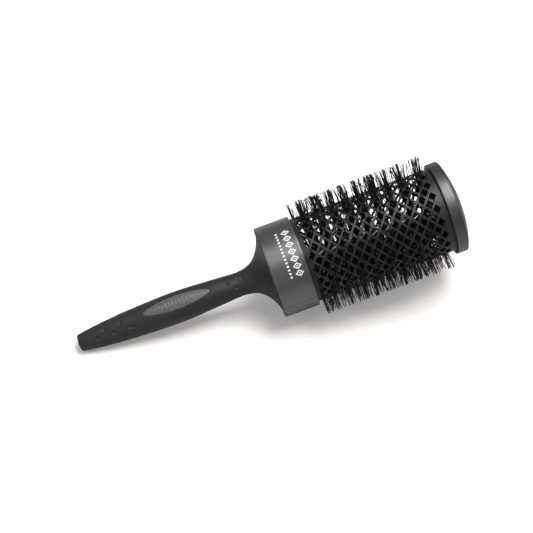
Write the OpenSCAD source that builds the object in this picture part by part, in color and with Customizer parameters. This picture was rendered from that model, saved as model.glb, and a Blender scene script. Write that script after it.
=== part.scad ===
// Round barrel brush for blow-drying: a perforated aluminium barrel on a soft-touch handle,
// with nylon bristles held in a twisted-wire stem and coming out through the barrel's vents.
//
// The brush axis is the X axis. The origin is the centre of the flat end of the handle, +X runs
// to the domed end cap, and +Z is up, through the middle of the inlay. Parts are drawn along a
// local z that counts millimetres from the end of the handle (a "station", x_...), with local x
// up. onto_axis() lays them on the brush axis; angles then run from +Z towards -Y.

/* [Barrel] */
// Outside diameter of the perforated barrel
barrel_d = 60; // [56:0.5:60]
// Wall thickness of the barrel sheet
barrel_wall = 0.8; // [0.6:0.1:1]
// Rings of vents along the barrel
vent_rows = 25; // [9:2:25]
// Vents round each ring
vents_round = 20; // [14:2:20]
// Distance along the axis from one ring of vents to the next
row_step = 3.74; // [3.5:0.02:3.74]
// Share of its lattice cell that each vent opens
vent_open = 0.74; // [0.55:0.01:0.76]

/* [Bristles] */
// Diameter over the bristle tips
bristle_tip_d = 81.6; // [72:0.2:90]
// Thickness of one nylon filament
filament_d = 0.45; // [0.35:0.05:0.5]
// Length of the wire twist for one full turn
twist_pitch = 20; // [18:0.2:24]

/* [Collar and end cap] */
// Outside diameter of the collar band
collar_d = 65; // [64.6:0.1:66]
// Length of the collar band
collar_len = 24.75; // [22:0.05:24.75]
// Outside diameter of the end cap
cap_d = 65.4; // [65.2:0.1:66]
// Radius of curvature of the domed end
dome_r = 94; // [80:1:120]

/* [Handle] */
// Thickness of the soft-touch skin over the handle core
skin_t = 1.2; // [1:0.1:1.3]
// Length of the oval inlay
inlay_len = 48.7; // [40:0.1:52]
// Width of the oval inlay
inlay_w = 10.9; // [9:0.1:11.4]
// Depth of each grip dimple
dimple_depth = 0.45; // [0.3:0.05:0.6]

/* [Hidden] */
$fn = 96;
fit = 0.05;                      // gap on each side between pieces that are pushed together
barrel_r = barrel_d/2;
barrel_in_r = barrel_r - barrel_wall;
spigot_r = barrel_in_r - fit;    // handle and end cap, where they plug into the barrel
ferrule_r = 4;
ferrule_bore_r = ferrule_r + fit;

x_rim = 140.03;                  // front of the handle's rim
x_flange = 140.95;               // handle side of the core's flange
x_shoulder = 147;                // where the barrel tube butts against the handle
x_row0 = 169.95;                 // ring of vents nearest the handle
x_barrel1 = 270.8;               // barrel tube, cap side

row_names = [for (i = [0:vent_rows-1]) str("bristle_row_", i < 9 ? "0" : "", i + 1)];
NODES = concat(["handle_core", "soft_grip", "handle_inlay", "collar_band", "barrel_tube",
                "end_cap", "end_dome", "cap_screw", "cap_ferrule", "handle_ferrule",
                "stem_wire_a", "stem_wire_b", "bristle_root_strip"], row_names);
node = "all";

// ---------- helpers ----------
module onto_axis() rotate([0, 90, 0]) rotate([0, 0, 180]) children();

// a turned piece, from its outline as [radius, station]
module lathe(outline) onto_axis() rotate_extrude() polygon(outline);

// point on the Catmull-Rom curve between two points, part from 0 to 1
function catmull_rom(prev, start, end, next, part) =
  0.5*(2*start + (end - prev)*part + (2*prev - 5*start + 4*end - next)*part*part
       + (3*start - prev - 3*end + next)*part*part*part);
function spline(points, steps) = let (last = len(points) - 1) concat(
  [for (i = [0:last-1], k = [0:steps-1]) catmull_rom(
    points[max(i-1, 0)], points[i], points[i+1], points[min(i+2, last)], k/steps)],
  [points[last]]);

// a [station, radius] curve pushed in along its own normal
function inset(curve, depth) = [for (i = [0:len(curve)-1]) let (
  before = curve[max(i-1, 0)],
  after = curve[min(i+1, len(curve)-1)],
  along = (after - before)/norm(after - before))
  curve[i] + depth*[along[1], -along[0]]];
function flip(points) = [for (point = points) [point[1], point[0]]];
function reverse(points) = [for (i = [len(points)-1:-1:0]) points[i]];

// ---------- profile of the handle ----------
// [station, radius]: a slim tail, a full palm, a narrow neck, then the bell
handle_points = [
  [2.6, 6.26], [7, 6.95], [11.1, 7.5], [15.2, 7.97], [19.4, 8.4], [23.5, 8.8], [27.6, 9.16],
  [31.7, 9.5], [35.8, 9.79], [40, 10.03], [44.1, 10.23], [48.2, 10.43], [52.4, 10.62],
  [56.5, 10.77], [60.6, 10.89], [64.7, 10.97], [68.9, 11], [73, 10.98], [77.1, 10.9],
  [81.3, 10.74], [85.4, 10.51], [89.5, 10.25], [93.7, 10], [97.8, 9.74], [102, 9.44],
  [106.1, 9.15], [110.2, 8.83], [113, 8.62], [115.6, 8.48], [118, 8.44], [120, 8.53],
  [121.8, 8.73], [123.5, 9.04], [125.4, 9.54], [127.5, 10.3], [129.6, 11.4], [131.6, 12.95],
  [133, 14.4], [134.4, 16.15], [135.8, 18.2], [137, 20.3], [138, 22.5], [138.8, 24.7],
  [139.35, 26.6], [139.7, 28.5], [139.9, 30.4], [x_rim, 32.2]];
handle_curve = spline(handle_points, 2);

// the tail end's edge: a quarter circle down to the flat
tail_r = 6.15;
tail_round = 1.9;
tail_curve = [for (angle = [0:15:75])
  [tail_round*(1 - cos(angle)), tail_r - tail_round*(1 - sin(angle))]];

// core surface: the handle curve pushed in by the skin, from the core's tail to the flange
x_core0 = 3.1;
core_margin = 0.1;
core_curve = [for (point = inset(handle_curve, skin_t))
  if (point[1] < barrel_r - 0.8 && point[0] < x_flange - core_margin
      && point[0] > x_core0 + core_margin) point];
core_tail_r = core_curve[0][1];

// ---------- handle ----------
x_bore0 = 108.45;                // blind end of the bore for the stem's ferrule
spigot_in_r = barrel_in_r - 2.7;
boss_r = 7.4;                    // tube round the bore, inside the bell
rib_t = 1.6;

module core_ribs() onto_axis() for (k = [0:5]) rotate([0, 0, 60*k + 30])
  translate([0, rib_t/2, 0]) rotate([90, 0, 0]) linear_extrude(rib_t)
    polygon([[7, 145.5], [spigot_in_r + 0.3, 145.5], [spigot_in_r + 0.3, 143.2], [21.5, 141.2],
             [15.5, 137.8], [11, 132.9], [8, 130.3], [7, 130]]);

module handle_core() color([0.10, 0.10, 0.11]) union() {
  lathe(concat(
    [[ferrule_bore_r, x_bore0], [0, x_bore0], [0, x_core0], [core_tail_r, x_core0]],
    flip(core_curve),
    // flange and spigot
    [[barrel_r, x_flange], [barrel_r, x_shoulder - fit], [spigot_r, x_shoulder - fit],
     [spigot_r, 162.1], [spigot_r - 0.5, 162.7], [spigot_r - 1.9, 162.7]],
    // hollow of the bell, then the boss
    [[spigot_in_r, 162], [spigot_in_r, 143.6], [20.8, 141.6], [14.9, 138], [10.4, 133],
     [boss_r, 130.2], [boss_r, 146.25], [ferrule_bore_r, 146.25]]));
  core_ribs();
}

// prisms cut down through the skin from above
prism_z = 5;
prism_h = 12;
inlay_x = 72.9;                  // middle of the inlay
inlay_gap = 0.15;                // between the inlay and the skin round it
module oval_prism(length, width) translate([inlay_x, 0, prism_z]) linear_extrude(prism_h)
  polygon([for (angle = [0:6:354]) [length/2*cos(angle), width/2*sin(angle)]]);

// grip dimples: stations in even and odd columns, so that neighbours are staggered
dimple_columns = 12;
dimple_stations = [[20.4, 32.15, 109.9, 120.8], [14.4, 26.35, 38.3, 115.35]];
dimple_r = 2;

module soft_grip() color([0.16, 0.16, 0.165]) difference() {
  lathe(concat(
    [[0, 0]], flip(tail_curve), flip(handle_curve),
    [[barrel_r, x_rim], [barrel_r, x_flange - fit]],
    flip(reverse(inset(core_curve, -fit/2))),
    [[core_tail_r + fit/2, x_core0 - fit], [0, x_core0 - fit]]));
  oval_prism(inlay_len + 2*inlay_gap, inlay_w + 2*inlay_gap);
  onto_axis() for (column = [0:dimple_columns-1], x = dimple_stations[column % 2])
    rotate([0, 0, 360/dimple_columns*column])
      translate([lookup(x, handle_curve) + dimple_r - dimple_depth, 0, x])
        sphere(r = dimple_r, $fn = 24);
}

// a shell along the handle's surface, between two heights measured from it
module inlay_shell(top, bottom)
  let (curve = [for (point = handle_curve) if (point[0] > 44 && point[0] < 102) point])
    lathe(concat([for (point = curve) [point[1] + top, point[0]]],
                 [for (point = reverse(curve)) [point[1] + bottom, point[0]]]));

bars = 13;
bar_step = 2.5;
module handle_inlay() color([0.47, 0.49, 0.50]) union() {
  intersection() {
    inlay_shell(top = 0, bottom = 0.06 - skin_t);
    oval_prism(inlay_len, inlay_w);
  }
  // a row of low slanted grip bars along the middle
  intersection() {
    inlay_shell(top = 0.28, bottom = -0.3);
    for (k = [0:bars-1]) translate([inlay_x + (k - (bars-1)/2)*bar_step, 0, prism_z])
      linear_extrude(prism_h) rotate(-12) square([0.9, 3.4], center = true);
  }
}

// ---------- collar and barrel ----------
x_collar0 = 140.1;
collar_r = collar_d/2;
seam_w = 0.3;
seam_depth = 0.15;
edge_bevel = 0.4;                // on the collar band and the end cap

module collar_band() color([0.42, 0.44, 0.45]) let (x_collar1 = x_collar0 + collar_len)
  difference() {
    lathe([[barrel_r + fit, x_collar0], [collar_r - edge_bevel, x_collar0],
           [collar_r, x_collar0 + edge_bevel], [collar_r, x_collar1 - edge_bevel],
           [collar_r - edge_bevel, x_collar1], [barrel_r + fit, x_collar1]]);
    // the closing seam, a fine groove along the band
    onto_axis() rotate([0, 0, 75]) translate([collar_r - seam_depth, -seam_w/2, x_collar0 - 1])
      cube([1, seam_w, collar_len + 2]);
  }

// the vent lattice: every other ring is turned by half a vent
function vent_x(row) = x_row0 + row_step*row;
function vent_angle(row, j) = 360/vents_round*(j + (row % 2)/2);
vent_half_len = row_step*vent_open;
vent_half_w = PI*barrel_r/vents_round*vent_open;
vent_cut = 10;                   // radial length of the cutter, centred on the barrel's surface

module vent() rotate([0, 90, 0]) linear_extrude(vent_cut)
  polygon([[vent_half_len, 0], [0, vent_half_w], [-vent_half_len, 0], [0, -vent_half_w]]);

module barrel_tube() color([0.25, 0.26, 0.27]) difference() {
  lathe([[barrel_in_r, x_shoulder], [barrel_r, x_shoulder],
         [barrel_r, x_barrel1], [barrel_in_r, x_barrel1]]);
  onto_axis() for (row = [0:vent_rows-1], j = [0:vents_round-1])
    rotate([0, 0, vent_angle(row, j)]) translate([barrel_r - vent_cut/2, 0, vent_x(row)]) vent();
}

// ---------- end cap ----------
cap_r = cap_d/2;
cap_round = 1.2;                 // outer edge
x_cap0 = 266.3;                  // barrel side
x_cap1 = 274.2;                  // outer edge, where the dome starts
x_end = 279.8;                   // top of the dome
hub_r = 6.5;
x_hub0 = 260.5;
x_web = 269.5;                   // handle side of the cap's web
x_ferrule_stop = 268.3;
x_screw_seat = 270.2;
screw_hole_r = 2.1;
screw_well_r = 4.3;
x_dome_seat = 272.8;
ring_in_r = 23.9;                // ring under the dome that sits in a groove in the cap
ring_out_r = 26.1;
cap_rib_t = 1.4;

module end_cap() color([0.33, 0.345, 0.355]) union() {
  lathe(concat(
    // hub
    [[screw_hole_r, x_ferrule_stop], [ferrule_bore_r, x_ferrule_stop],
     [ferrule_bore_r, x_hub0], [hub_r, x_hub0], [hub_r, x_web]],
    // spigot and the step over the barrel's end
    [[spigot_r - 1.95, x_web], [spigot_r - 1.95, 264.4], [spigot_r - 0.5, 264],
     [spigot_r, 264.5], [spigot_r, x_barrel1 + fit], [barrel_r + fit, x_barrel1 + fit],
     [barrel_r + fit, x_cap0], [cap_r - edge_bevel, x_cap0], [cap_r, x_cap0 + edge_bevel]],
    [for (angle = [0:15:90])
      [cap_r - cap_round*(1 - cos(angle)), x_cap1 - cap_round*(1 - sin(angle))]],
    // dome seat with its groove, then the screw's well
    [[31.38, x_cap1], [31.38, x_dome_seat], [ring_out_r + fit, x_dome_seat],
     [ring_out_r + fit, 271.6], [ring_in_r - fit, 271.6], [ring_in_r - fit, x_dome_seat],
     [screw_well_r, x_dome_seat], [screw_well_r, x_screw_seat], [screw_hole_r, x_screw_seat]]));
  // stiffening ribs inside the cap
  onto_axis() for (k = [0:5]) rotate([0, 0, 60*k])
    translate([hub_r - 0.4, -cap_rib_t/2, 265.2]) cube([barrel_in_r - 8, cap_rib_t, 4.6]);
}

dome_edge_r = 31.3;
dome_top_r = dome_edge_r - 0.3;  // inside the edge bevel
dome_hollow_r = 21;
x_dome0 = x_dome_seat + fit;
function dome_x(radius, depth = 0) = x_end - dome_r + sqrt(pow(dome_r - depth, 2) - radius*radius);

module end_dome() color([0.33, 0.345, 0.355]) lathe(concat(
  [for (i = [0:10]) let (radius = dome_hollow_r*i/10) [radius, dome_x(radius, depth = 2.1)]],
  [[dome_hollow_r, x_dome0], [ring_in_r, x_dome0], [ring_in_r, 271.7], [ring_out_r, 271.7],
   [ring_out_r, x_dome0], [dome_edge_r, x_dome0], [dome_edge_r, dome_x(dome_edge_r) - 0.35]],
  [for (i = [16:-1:0]) let (radius = dome_top_r*i/16) [radius, dome_x(radius)]]));

slot_w = 0.9;
slot_len = 4.2;
module cap_screw() color([0.62, 0.63, 0.64]) difference() {
  lathe([[0, 272.5], [3.0, 272.5], [3.7, 271.8], [3.7, x_screw_seat + fit],
         [1.95, x_screw_seat + fit], [1.95, 264.4], [1.2, 263.7], [0, 263.7]]);
  // cross slot
  onto_axis() for (angle = [0, 90]) rotate([0, 0, angle])
    translate([-slot_len/2, -slot_w/2, 271.3]) cube([slot_len, slot_w, 2]);
}

// ---------- twisted wire stem ----------
wire_d = 2.3;
wire_gap = filament_d + 0.09;
wire_off = (wire_d + wire_gap)/2;        // brush axis to the middle of a strand
wire_bore_r = wire_off + wire_d/2 + 0.06;
x_wire0 = 112.95;
x_wire1 = 262.9;
root_r = 3.35;                   // edge of the strip of clamped filament middles
x_root0 = 165.6;
x_root1 = 257.6;
twist_0 = 43.8;                  // direction of the strip at station 0
function twist_at(x) = twist_0 - 360*x/twist_pitch;
function twist_steps(length) = ceil(length/twist_pitch*15);
function turned(x, y, angle) = [x*cos(angle) - y*sin(angle), x*sin(angle) + y*cos(angle)];

module cap_ferrule() color([0.60, 0.60, 0.58])
  lathe([[1.97, 267.9], [3.7, 267.9], [ferrule_r, 267.6], [ferrule_r, 258.4], [3.6, 258],
         [wire_bore_r, 258], [wire_bore_r, 263.2], [1.97, 263.2]]);
module handle_ferrule() color([0.60, 0.60, 0.58])
  lathe([[wire_bore_r, 137.45], [3.6, 137.45], [ferrule_r, 137.05], [ferrule_r, 111.05],
         [0, 111.05], [0, 112.65], [wire_bore_r, 112.65]]);

// a solid through rings of points; ahead picks which diagonal splits each side facet
module sweep(points, sides, steps, ahead) onto_axis()
  polyhedron(points = points, convexity = 10, faces = concat(
    [[for (k = [0:sides-1]) k]],
    [[for (k = [sides-1:-1:0]) steps*sides + k]],
    [for (i = [0:steps-1], k = [0:sides-1])
      let (a = i*sides + k, b = i*sides + (k+1) % sides, a2 = a + sides, b2 = b + sides)
      each ahead ? [[a, a2, b2], [a, b2, b]] : [[a, a2, b], [a2, b2, b]]]));

// one strand along its helix, with flat ends; side is its angle from the strip
module strand(side) let (
  sides = 8,
  steps = twist_steps(x_wire1 - x_wire0),
  slant = atan(2*PI*wire_off/twist_pitch),
  points = [for (i = [0:steps], k = [0:sides-1]) let (
    x = x_wire0 + (x_wire1 - x_wire0)*i/steps,
    out = wire_d/2*cos(360/sides*k),
    across = wire_d/2*sin(360/sides*k),
    rise = i == 0 || i == steps ? 0 : sin(slant))
    concat(turned(wire_off + out, across*cos(slant), twist_at(x) + side), [x + across*rise])])
  sweep(points, sides, steps, ahead = true);
module stem_wire_a() color([0.55, 0.56, 0.57]) strand(90);
module stem_wire_b() color([0.55, 0.56, 0.57]) strand(270);

// the middles of all the filaments lie side by side between the strands, as a twisted strip
module bristle_root_strip() color([0.06, 0.06, 0.065]) let (
  cells = 6,
  half_t = filament_d/2 - 0.02,
  section = [for (s = [1, -1], k = [0:cells]) [s*root_r*(1 - 2*k/cells), s*half_t]],
  steps = twist_steps(x_root1 - x_root0),
  points = [for (i = [0:steps], point = section)
    let (x = x_root0 + (x_root1 - x_root0)*i/steps)
    concat(turned(point[0], point[1], twist_at(x)), [x])])
  sweep(points, len(section), steps, ahead = false);

// ---------- bristles ----------
// A filament leaves the stem where the twist faces its vent, and leans along the axis to reach it.
filament_r0 = root_r + 0.1;      // radius where filaments start
pair_shift = 0.75;               // each way, at the barrel
pair_reach = 2.6;                // vents closer than this to a turn carry a pair

// station nearest x where the strip faces the angle, kept within the strip
function turn_x(x, angle) = let (
  half_turn = twist_pitch/2,
  first = (twist_0 - angle)/360*twist_pitch)
  min(max(first + half_turn*round((x - first)/half_turn), x_root0 + 0.8), x_root1 - 1.2);

// shift moves one filament of a pair; its line meets the brush axis at x_axis
module filament(x, angle, shift) let (
  turn = turn_x(x, angle),
  x_axis = turn + 0.15*(x - turn) + 0.68*shift,
  slope = (x + shift - x_axis)/barrel_r,
  lean = atan(slope))
  rotate([0, 0, angle]) translate([filament_r0, 0, x_axis + slope*filament_r0])
    rotate([0, 90 - lean, 0])
      cylinder(d = filament_d, h = (bristle_tip_d/2 - filament_r0)/cos(lean), $fn = 16);

module bristle_row(row) color([0.05, 0.05, 0.055]) onto_axis()
  for (j = [0:vents_round-1]) let (x = vent_x(row), angle = vent_angle(row, j))
    for (shift = abs(x - turn_x(x, angle)) < pair_reach ? [-pair_shift, pair_shift] : [0])
      filament(x, angle, shift);

function shown(name) = node == "all" || node == name;
if (shown("handle_core")) handle_core();
if (shown("soft_grip")) soft_grip();
if (shown("handle_inlay")) handle_inlay();
if (shown("collar_band")) collar_band();
if (shown("barrel_tube")) barrel_tube();
if (shown("end_cap")) end_cap();
if (shown("end_dome")) end_dome();
if (shown("cap_screw")) cap_screw();
if (shown("cap_ferrule")) cap_ferrule();
if (shown("handle_ferrule")) handle_ferrule();
if (shown("stem_wire_a")) stem_wire_a();
if (shown("stem_wire_b")) stem_wire_b();
if (shown("bristle_root_strip")) bristle_root_strip();
for (i = [0:vent_rows-1]) if (shown(row_names[i])) bristle_row(i);
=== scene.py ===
import math

import bpy
import numpy as np
from mathutils import Matrix, Vector


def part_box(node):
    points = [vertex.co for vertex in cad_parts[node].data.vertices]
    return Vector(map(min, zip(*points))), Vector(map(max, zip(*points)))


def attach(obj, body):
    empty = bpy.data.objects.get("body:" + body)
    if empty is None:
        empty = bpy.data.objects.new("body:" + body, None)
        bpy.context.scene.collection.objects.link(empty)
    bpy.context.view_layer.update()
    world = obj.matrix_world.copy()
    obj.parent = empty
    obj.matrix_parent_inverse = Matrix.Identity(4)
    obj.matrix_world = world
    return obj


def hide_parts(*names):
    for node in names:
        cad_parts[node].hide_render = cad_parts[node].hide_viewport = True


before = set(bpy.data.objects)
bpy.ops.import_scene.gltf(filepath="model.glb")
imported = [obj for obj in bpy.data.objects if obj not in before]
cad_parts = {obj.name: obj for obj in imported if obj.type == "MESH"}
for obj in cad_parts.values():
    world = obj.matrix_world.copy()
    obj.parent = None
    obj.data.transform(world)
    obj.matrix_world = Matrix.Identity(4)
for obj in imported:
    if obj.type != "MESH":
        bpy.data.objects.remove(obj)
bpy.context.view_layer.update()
MM = 0.001


def span(node):
    """Lowest and highest x of a CAD node, and its largest radius, in mm."""
    lo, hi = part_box(node)
    return lo.x / MM, hi.x / MM, max(hi.y, -lo.y, hi.z, -lo.z) / MM


_, GRIP_X1, _ = span("soft_grip")
COLLAR_X0, COLLAR_X1, COLLAR_R = span("collar_band")
TUBE_X0, TUBE_X1, TUBE_R = span("barrel_tube")
CAP_X0, CAP_X1, CAP_R = span("end_cap")
DOME_X0, DOME_X1, DOME_R = span("end_dome")
WIRE_X0, WIRE_X1, WIRE_R = span("stem_wire_a")
ROOT_X0, ROOT_X1, _ = span("bristle_root_strip")
TIP_R = span("bristle_row_01")[2]

TUBE_WALL = 0.8
TUBE_INNER_R = TUBE_R - TUBE_WALL
VENT_ROWS, VENTS_ROUND = 25, 20
VENT_X0 = 169.95        # centre of the first row
VENT_STEP = 3.74        # from row to row; each row is turned by half a vent
TWIST_PITCH = 20.0      # stem's length for one full turn
TWIST_0 = 43.8          # degrees at x = 0; the twist runs backwards

# ------------------------------------------------------------------ mesh helpers
NO_TRIS = np.zeros((0, 3), int)


def new_mesh(name, verts, quads=(), tris=(), smooth=True, sharp=32.0):
    """A mesh object from vertices in mm; edges over `sharp` degrees stay sharp."""
    verts, quads, tris = outward(verts, quads, tris)
    verts = verts * MM
    mesh = bpy.data.meshes.new(name)
    mesh.vertices.add(len(verts))
    mesh.vertices.foreach_set("co", verts.astype(np.float32).ravel())
    loops = np.concatenate([quads.ravel(), tris.ravel()])
    mesh.loops.add(len(loops))
    mesh.loops.foreach_set("vertex_index", loops.astype(np.int32))
    n_quads, n_tris = len(quads), len(tris)
    start = np.concatenate([np.arange(n_quads) * 4, n_quads * 4 + np.arange(n_tris) * 3])
    mesh.polygons.add(n_quads + n_tris)
    mesh.polygons.foreach_set("loop_start", start.astype(np.int32))
    mesh.polygons.foreach_set("use_smooth", np.full(n_quads + n_tris, smooth))
    mesh.update(calc_edges=True)
    mesh.validate()
    if smooth:
        mesh.set_sharp_from_angle(angle=math.radians(sharp))
    return add_object(name, mesh)


def add_object(name, data):
    ob = bpy.data.objects.new(name, data)
    bpy.context.scene.collection.objects.link(ob)
    return ob


def finish_piece(ob, material, node=None):
    """Material for a new piece, hung on the root body, and the CAD node it stands in for, which
    is hidden.
    """
    ob.data.materials.append(material)
    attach(ob, "root")
    if node:
        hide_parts(node)


def ring_point(x, radius, angle):
    """Position in mm for a station, a radius and an angle in radians."""
    return np.stack([x, -radius * np.sin(angle), radius * np.cos(angle)], axis=-1)


def lathe(profile, angles, reshape=None):
    """Vertices, quads and tris of a closed profile [(x, radius), ...] turned round the axis.
    reshape(x, radius, angle) may return new radii. Points of radius 0 become poles."""
    profile = np.asarray(profile, float)
    count, around = len(profile), len(angles)
    x = np.repeat(profile[:, :1], around, 1)
    radius = np.repeat(profile[:, 1:], around, 1)
    angle = np.repeat(angles[None, :], count, 0)
    if reshape is not None:
        radius = reshape(x, radius, angle)
    verts = ring_point(x, radius, angle).reshape(-1, 3)
    pole = profile[:, 1] < 1e-6
    ids = np.arange(count * around).reshape(count, around)
    ids[pole] = ids[pole, :1]
    quads, tris = [], [NO_TRIS]
    for i in range(count):
        j = (i + 1) % count
        if pole[i] and pole[j]:
            continue
        here, there = ids[i], ids[j]
        here_next, there_next = np.roll(here, -1), np.roll(there, -1)
        if pole[i]:
            tris.append(np.stack([here, there_next, there], 1))
        elif pole[j]:
            tris.append(np.stack([here, here_next, there], 1))
        else:
            quads.append(np.stack([here, here_next, there_next, there], 1))
    return compact(verts, np.concatenate(quads), np.concatenate(tris))


def compact(verts, quads, tris):
    """The same faces without the vertices that none of them uses."""
    used = np.unique(np.concatenate([quads.ravel(), tris.ravel()]))
    remap = -np.ones(len(verts), int)
    remap[used] = np.arange(len(used))
    return verts[used], remap[quads], remap[tris]


def outward(verts, quads, tris):
    """The same closed surface with its faces turned to look outwards."""
    verts = np.asarray(verts, float)
    quads = np.asarray(quads, int).reshape(-1, 4)
    tris = np.asarray(tris, int).reshape(-1, 3)
    faces = np.concatenate([tris, quads[:, [0, 1, 2]], quads[:, [0, 2, 3]]])
    pts = verts - verts.mean(0)
    normals = np.cross(pts[faces[:, 1]], pts[faces[:, 2]])
    volume = np.einsum("ij,ij->i", pts[faces[:, 0]], normals).sum()
    return (verts, quads, tris) if volume > 0 else (verts, quads[:, ::-1], tris[:, ::-1])


def join(parts):
    all_verts, all_quads, all_tris, offset = [], [], [], 0
    for part in parts:
        verts, quads, tris = outward(*part)
        all_verts.append(verts)
        all_quads.append(quads + offset)
        all_tris.append(tris + offset)
        offset += len(verts)
    return np.concatenate(all_verts), np.concatenate(all_quads), np.concatenate(all_tris)


def tube_faces(rings, sides):
    """Quads and end tris of a tube; the two end centres follow the rings' vertices."""
    ids = np.arange(rings * sides).reshape(rings, sides)
    here, there = ids[:-1], ids[1:]
    quads = np.stack([here, np.roll(here, -1, 1), np.roll(there, -1, 1), there], -1)
    first, last = ids[0], ids[-1]
    centre = np.full(sides, rings * sides)
    tris = np.concatenate([np.stack([np.roll(first, -1), first, centre], 1),
                           np.stack([last, np.roll(last, -1), centre + 1], 1)])
    return quads.reshape(-1, 4), tris


def arc(x, radius, fillet, start, stop, count):
    """Points of a fillet round (x, radius) in the profile's plane, angles in degrees."""
    return [(x + fillet * math.cos(math.radians(a)), radius + fillet * math.sin(math.radians(a)))
            for a in np.linspace(start, stop, count)]


def catmull(points, steps):
    """Catmull-Rom curve through the points, with `steps` points per segment."""
    points = np.asarray(points, float)
    last = len(points) - 1
    out = []
    for i in range(last):
        before, start = points[max(i - 1, 0)], points[i]
        end, after = points[i + 1], points[min(i + 2, last)]
        for k in range(steps):
            t = k / steps
            out.append(0.5 * ((2 * start) + (end - before) * t
                              + (2 * before - 5 * start + 4 * end - after) * t * t
                              + (3 * start - before - 3 * end + after) * t ** 3))
    out.append(points[last])
    return np.array(out)


def smooth01(t):
    t = np.clip(t, 0, 1)
    return t * t * (3 - 2 * t)


def wrap(angle):
    return (angle + np.pi) % (2 * np.pi) - np.pi


def even(count):
    return np.linspace(0, 2 * np.pi, count, endpoint=False)


# ------------------------------------------------------------------ materials
MIDDLE = (0.3, 0.7)     # the part of a noise's range where most of it lies


def scaled(colour, factor):
    return tuple(c * factor for c in colour)


class Shader:
    """Small helper to write a procedural material in object coordinates."""
    INPUTS = {"color": "Base Color", "metal": "Metallic", "rough": "Roughness",
              "normal": "Normal", "spec": "Specular IOR Level", "ior": "IOR",
              "sheen": "Sheen Weight", "sheen_rough": "Sheen Roughness",
              "tint": "Specular Tint", "glow": "Emission Color",
              "glow_level": "Emission Strength"}

    def __init__(self, name):
        self.material = bpy.data.materials.new(name)
        self.material.use_nodes = True
        self.tree = self.material.node_tree
        self.tree.nodes.clear()
        output = self.node("OutputMaterial")
        self.bsdf = self.node("BsdfPrincipled")
        self.put(output.inputs[0], self.bsdf.outputs[0])
        self.coords = self.node("TexCoord").outputs["Object"]

    def node(self, kind):
        return self.tree.nodes.new("ShaderNode" + kind)

    def put(self, socket, value):
        """Links a socket, or sets a number or an RGB colour."""
        if hasattr(value, "links"):
            self.tree.links.new(value, socket)
        else:
            socket.default_value = (*value, 1) if isinstance(value, tuple) else value

    def math(self, operation, first, second=0.0):
        node = self.node("Math")
        node.operation = operation
        self.put(node.inputs[0], first)
        self.put(node.inputs[1], second)
        return node.outputs[0]

    def weighted(self, first, *rest):
        """Sum of (value, weight) pairs."""
        term = self.math("MULTIPLY", *first)
        return self.math("ADD", term, self.weighted(*rest)) if rest else term

    def noise(self, scale, detail, rough, coords=None):
        node = self.node("TexNoise")
        node.inputs["Scale"].default_value = scale
        node.inputs["Detail"].default_value = detail
        node.inputs["Roughness"].default_value = rough
        self.put(node.inputs["Vector"], coords or self.coords)
        return node.outputs[0]

    def cells(self, scale):
        node = self.node("TexVoronoi")
        node.inputs["Scale"].default_value = scale
        self.put(node.inputs["Vector"], self.coords)
        return node.outputs[0]

    def remap(self, value, to, within=MIDDLE):
        node = self.node("MapRange")
        for k, x in enumerate((*within, *to)):
            node.inputs[k + 1].default_value = x
        self.put(node.inputs[0], value)
        return node.outputs[0]

    def mix(self, factor, first, second):
        node = self.node("Mix")
        node.data_type = "RGBA"
        for k, value in ((0, factor), (6, first), (7, second)):
            self.put(node.inputs[k], value)
        return node.outputs[2]

    def blend(self, value, first, second, within=MIDDLE, to=(0, 1)):
        """Goes from the first colour to the second as value runs through `within`."""
        return self.mix(self.remap(value, to=to, within=within), first, second)

    def round_coords(self, along, around):
        """Vector (x, sine, cosine of the angle), scaled, for streaks round the brush axis."""
        split = self.node("SeparateXYZ")
        self.put(split.inputs[0], self.coords)
        x, y, z = split.outputs
        joined = self.node("CombineXYZ")
        self.put(joined.inputs[0], self.math("MULTIPLY", x, along))
        angle = self.math("ARCTAN2", y, z)
        self.put(joined.inputs[1], self.math("MULTIPLY", self.math("SINE", angle), around))
        self.put(joined.inputs[2], self.math("MULTIPLY", self.math("COSINE", angle), around))
        return joined.outputs[0]

    def bump(self, height, strength, depth, normal=None):
        """Bump with its depth in mm."""
        node = self.node("Bump")
        node.inputs["Strength"].default_value = strength
        node.inputs["Distance"].default_value = depth * MM
        self.put(node.inputs["Height"], height)
        if normal is not None:
            self.put(node.inputs["Normal"], normal)
        return node.outputs[0]

    def set(self, **values):
        for key, value in values.items():
            self.put(self.bsdf.inputs[self.INPUTS[key]], value)
        return self.material


def soft_material():
    """Matt charcoal elastomer with a moulded micro-texture and faint handling marks."""
    mat = Shader("soft_touch_skin")
    large = mat.noise(scale=55, detail=4, rough=0.6)
    marks = mat.noise(scale=420, detail=5, rough=0.6)
    fine = mat.noise(scale=2600, detail=3, rough=0.6)
    grain = mat.cells(scale=3400)
    color = mat.blend(large, (0.0134, 0.0134, 0.0138), (0.0172, 0.0172, 0.0177))
    color = mat.blend(marks, color, (0.021, 0.021, 0.022), within=(0.58, 0.78), to=(0, 0.3))
    height = mat.weighted((grain, 0.6), (fine, 0.5))
    normal = mat.bump(marks, strength=0.10, depth=0.25)
    return mat.set(
        color=color, rough=mat.remap(marks, within=(0.2, 0.8), to=(0.46, 0.60)),
        normal=mat.bump(height, strength=0.35, depth=0.06, normal=normal),
        spec=0.34, sheen=0.03, sheen_rough=0.45)


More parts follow.
